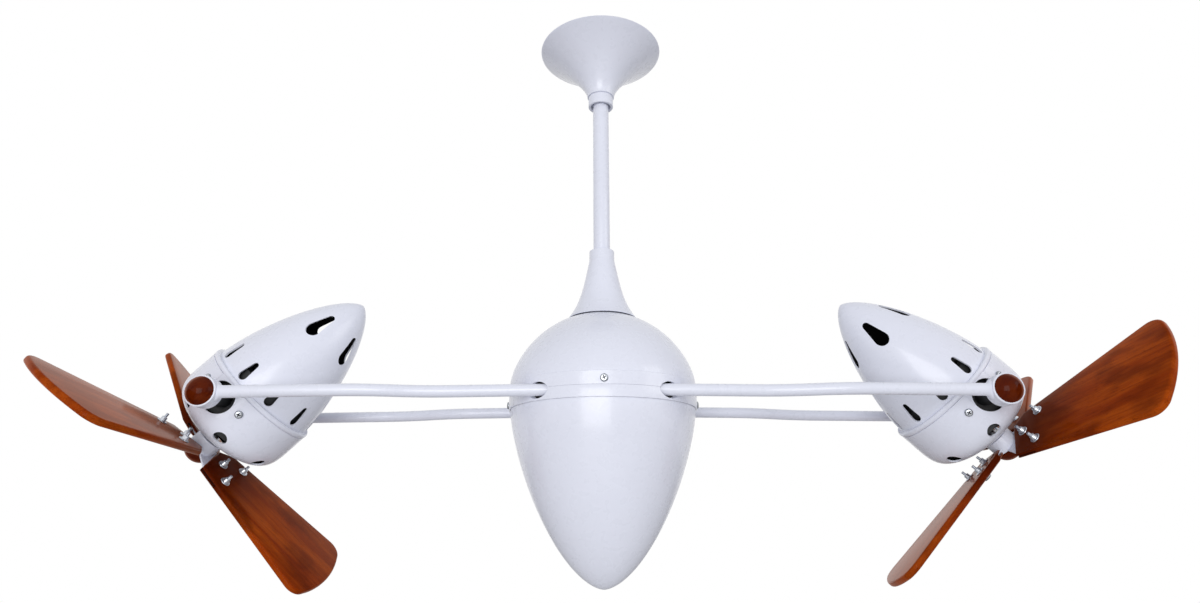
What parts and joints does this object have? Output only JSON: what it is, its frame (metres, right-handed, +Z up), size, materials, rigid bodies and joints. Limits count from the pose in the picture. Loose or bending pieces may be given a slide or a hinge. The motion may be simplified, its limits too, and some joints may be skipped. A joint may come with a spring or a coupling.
{
  "type": "twin head ceiling fan",
  "caption": "Ceiling fan with two bladed motor heads that tilt at the ends of bent arms, carried by a turning egg-shaped body under a downrod and trumpet canopy.",
  "frame": {"origin": "middle of the ceiling mounting plane, between the bracket's two screw holes", "axes": "+Z up into the ceiling, X along the arms with the left head at -X and the right head at +X, -Y towards the viewer"},
  "size_m": [1.0331, 0.3573, 0.6057],
  "materials": {
    "white_enamel": "gloss cool-white powder coat",
    "wood": "gloss varnished reddish mahogany",
    "zinc": "bright zinc plate",
    "steel": "plain machined steel",
    "cast_aluminium": "as cast",
    "motor_black": "satin black paint on a casting",
    "lamination": "stacked steel sheet with copper windings",
    "phenolic": "dark moulded insulator with brass rings",
    "capacitor_plastic": "white moulded case"
  },
  "bodies": {
    "hanger": {"ceiling_bracket": "zinc", "rod_bolts": "zinc", "canopy": "white_enamel", "canopy_collar": "white_enamel", "grub_screws": "steel", "downrod": "white_enamel", "neck_cover": "white_enamel", "rod_coupler": "steel", "spindle": "steel", "bearing_inner_races": "steel", "spindle_nut": "zinc", "contact_rings": "phenolic"},
    "turning_body": {"spindle_bearings": "steel", "carrier": "cast_aluminium", "upper_shell": "white_enamel", "lower_band": "white_enamel", "lower_shell": "white_enamel", "shell_screws": "zinc", "arm_screws": "zinc", "front_left_arm": "white_enamel", "back_left_arm": "white_enamel", "front_right_arm": "white_enamel", "back_right_arm": "white_enamel", "dome_caps": "wood", "brush_block": "phenolic", "motor_capacitors": "capacitor_plastic"},
    "left_head": {"left_motor_frame": "motor_black", "left_end_bracket": "motor_black", "left_stator": "lamination", "left_motor_bearings": "steel", "left_pivot_bolts": "steel", "left_rear_shell": "white_enamel", "left_front_shell": "white_enamel", "left_head_screws": "zinc"},
    "right_head": {"right_motor_frame": "motor_black", "right_end_bracket": "motor_black", "right_stator": "lamination", "right_motor_bearings": "steel", "right_pivot_bolts": "steel", "right_rear_shell": "white_enamel", "right_front_shell": "white_enamel", "right_head_screws": "zinc"},
    "left_rotor": {"left_motor_rotor": "steel", "left_hub": "white_enamel", "left_blade_1": "wood", "left_blade_2": "wood", "left_blade_3": "wood", "left_blade_bolts": "zinc", "left_blade_nuts": "zinc", "left_finial": "wood"},
    "right_rotor": {"right_motor_rotor": "steel", "right_hub": "white_enamel", "right_blade_1": "wood", "right_blade_2": "wood", "right_blade_3": "wood", "right_blade_bolts": "zinc", "right_blade_nuts": "zinc", "right_finial": "wood"}
  },
  "joints": [
    {"name": "body_turn", "type": "hinge", "parent": "hanger", "child": "turning_body", "pos_m": [0, 0, -0.42], "axis": [0, 0, 1], "continuous": true},
    {"name": "left_tilt", "type": "hinge", "parent": "turning_body", "child": "left_head", "pos_m": [-0.367, 0, -0.42424], "axis": [0, -1, 0], "range_deg": [-134.6, 45.4]},
    {"name": "right_tilt", "type": "hinge", "parent": "turning_body", "child": "right_head", "pos_m": [0.367, 0, -0.42424], "axis": [0, 1, 0], "range_deg": [-134.2, 45.8]},
    {"name": "left_spin", "type": "hinge", "parent": "left_head", "child": "left_rotor", "pos_m": [-0.367, 0, -0.42424], "axis": [-0.712, 0, -0.7022], "continuous": true},
    {"name": "right_spin", "type": "hinge", "parent": "right_head", "child": "right_rotor", "pos_m": [0.367, 0, -0.42424], "axis": [0.7169, 0, -0.6972], "continuous": true}
  ]
}
